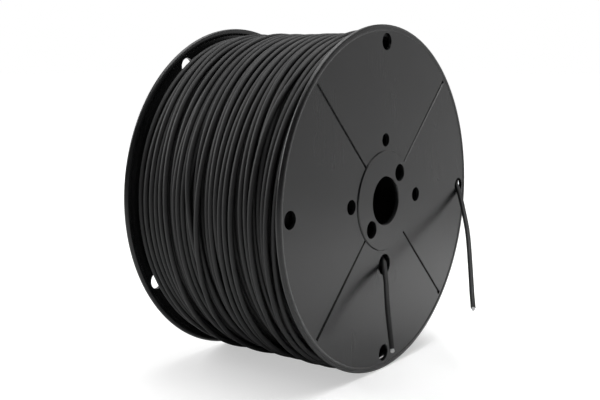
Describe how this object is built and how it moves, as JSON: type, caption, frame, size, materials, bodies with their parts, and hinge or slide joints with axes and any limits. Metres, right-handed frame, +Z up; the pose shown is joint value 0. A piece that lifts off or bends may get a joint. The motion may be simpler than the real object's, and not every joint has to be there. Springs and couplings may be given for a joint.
{
  "type": "wire spool",
  "caption": "Black plastic flanged spool wound full of black sheathed wire, with the wire's ends led out through holes in the front flange.",
  "frame": {"origin": "on the spool's axis, midway between the two flanges", "axes": "+Y along the axis from the front flange to the back flange, +Z up from the surface on which the rims stand, +X to the right as the front flange is faced"},
  "size_m": [0.23, 0.1764, 0.23],
  "materials": {
    "spool_plastic": "satin injection-moulded black",
    "wire_sheath": "smooth matt black sheath",
    "tinned_strands": "bright tinned wire"
  },
  "bodies": {
    "root": {"front_flange": "spool_plastic", "back_flange": "spool_plastic", "core_tube": "spool_plastic", "winding": "wire_sheath", "outer_lead": "wire_sheath", "outer_strands": "tinned_strands", "inner_lead": "wire_sheath", "inner_strands": "tinned_strands"}
  },
  "joints": []
}
